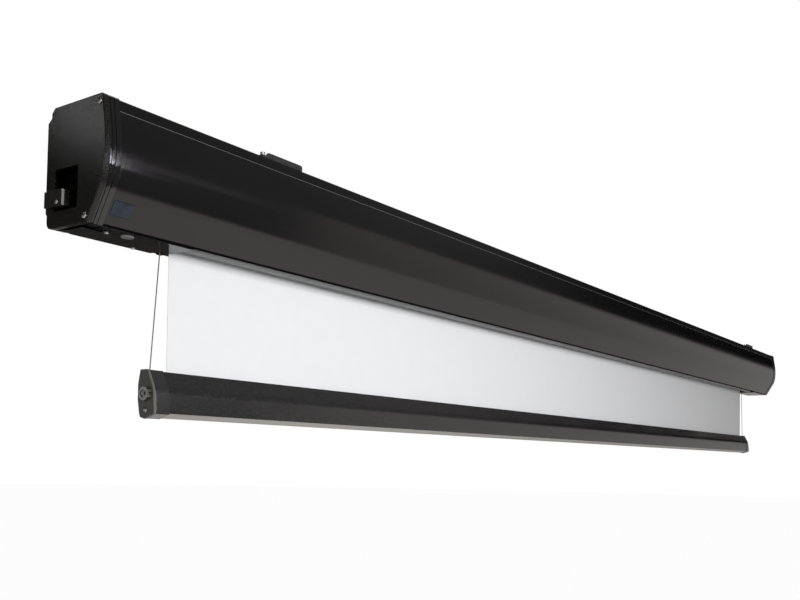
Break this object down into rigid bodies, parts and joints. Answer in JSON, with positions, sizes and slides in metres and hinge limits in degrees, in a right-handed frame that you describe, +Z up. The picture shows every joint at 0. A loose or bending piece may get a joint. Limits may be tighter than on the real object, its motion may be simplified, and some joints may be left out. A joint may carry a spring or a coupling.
{
  "type": "tensioned motorized projector screen",
  "caption": "Wall or ceiling casing with a tubular-motor roller that lowers a white sheet, kept flat by side cables wound on knobs in the weight bar.",
  "frame": {"origin": "on the wall plane, midway between the two brackets, level with the top of the casing", "axes": "+X along the casing to the right as seen from the front, +Y into the wall, +Z up"},
  "size_m": [3.0008, 0.1137, 0.3742],
  "materials": {
    "anodized": "black semi-gloss anodized",
    "textured_plastic": "black, fine moulded texture",
    "gloss_plastic": "black gloss",
    "matte_plastic": "black matte",
    "grey_plastic": "grey moulded",
    "button_plastic": "grey gloss",
    "sensor_plastic": "dark blue translucent window",
    "dark_steel": "black powder coat",
    "steel": "zinc plated",
    "board": "solder mask",
    "sheet": "matte white screen surface",
    "sheet_back": "grey backing of the sheet",
    "cable": "coated wire rope",
    "lead": "black sheath"
  },
  "bodies": {
    "casing": {"housing": "anodized", "front_cover": "anodized", "end_plate_left": "textured_plastic", "end_plate_right": "textured_plastic", "end_rim_left": "gloss_plastic", "end_rim_right": "gloss_plastic", "end_screw_left_upper": "steel", "end_screw_left_lower": "steel", "end_screw_right_upper": "steel", "end_screw_right_lower": "steel", "service_pocket": "matte_plastic", "control_sockets": "matte_plastic", "power_inlet": "textured_plastic", "inlet_screw": "steel", "sensor_window": "sensor_plastic", "receiver_board": "board", "control_box": "matte_plastic", "motor_lead": "lead", "receiver_lead": "lead", "motor_bracket": "dark_steel", "motor_head": "matte_plastic", "tubular_motor": "steel", "idler_bracket": "dark_steel", "idler_bearing": "steel", "bottom_cover_left": "matte_plastic", "bottom_cover_right": "matte_plastic", "cover_screw_left": "steel", "cover_screw_right": "steel", "button_board": "board", "service_cover": "textured_plastic", "service_cover_screw": "steel", "mounting_bracket_left": "dark_steel", "mounting_bracket_right": "dark_steel", "bracket_screw_left": "steel", "bracket_screw_right": "steel"},
    "roller": {"roller_tube": "steel", "crown_ring": "grey_plastic", "drive_wheel": "grey_plastic", "idler_plug": "grey_plastic", "fabric_roll": "sheet_back", "cable_turns_left": "cable", "cable_turns_right": "cable", "cable_collar_left": "grey_plastic", "cable_collar_right": "grey_plastic"},
    "weight_bar": {"weight_bar": "anodized", "hem_slat": "grey_plastic", "bar_cap_left": "gloss_plastic", "bar_cap_right": "gloss_plastic", "bar_end_plate_left": "textured_plastic", "bar_end_plate_right": "textured_plastic", "cap_screw_left": "steel", "cap_screw_right": "steel", "screen_sheet": "sheet", "tension_cable_left": "cable", "tension_cable_right": "cable"},
    "knob_left": {"tension_knob_left": "gloss_plastic", "tension_drum_left": "grey_plastic"},
    "knob_right": {"tension_knob_right": "gloss_plastic", "tension_drum_right": "grey_plastic"},
    "button": {"control_button": "button_plastic"}
  },
  "joints": [
    {"name": "screen_drop", "type": "slide", "parent": "casing", "child": "weight_bar", "axis": [0, 0, -1], "range_m": [-0.15, 1.335], "deforming": ["screen_sheet", "tension_cable_left", "tension_cable_right"]},
    {"name": "roller_spin", "type": "hinge", "parent": "casing", "child": "roller", "pos_m": [0, -0.05885, -0.1176], "axis": [1, 0, 0], "range_deg": [-2700, 320]},
    {"name": "tension_left", "type": "hinge", "parent": "weight_bar", "child": "knob_left", "pos_m": [-1.36, -0.0384, -0.3338], "axis": [1, 0, 0], "range_deg": [-360, 360]},
    {"name": "tension_right", "type": "hinge", "parent": "weight_bar", "child": "knob_right", "pos_m": [1.36, -0.0384, -0.3338], "axis": [1, 0, 0], "range_deg": [-360, 360]},
    {"name": "button_press", "type": "slide", "parent": "casing", "child": "button", "axis": [0, 0, 1], "range_m": [0, 0.0015], "stiffness_N_per_m": 400, "springref_m": -0.001}
  ],
  "couplings": [
    {"joint": "roller_spin", "follows": "screen_drop", "rad_per_m": -35}
  ]
}
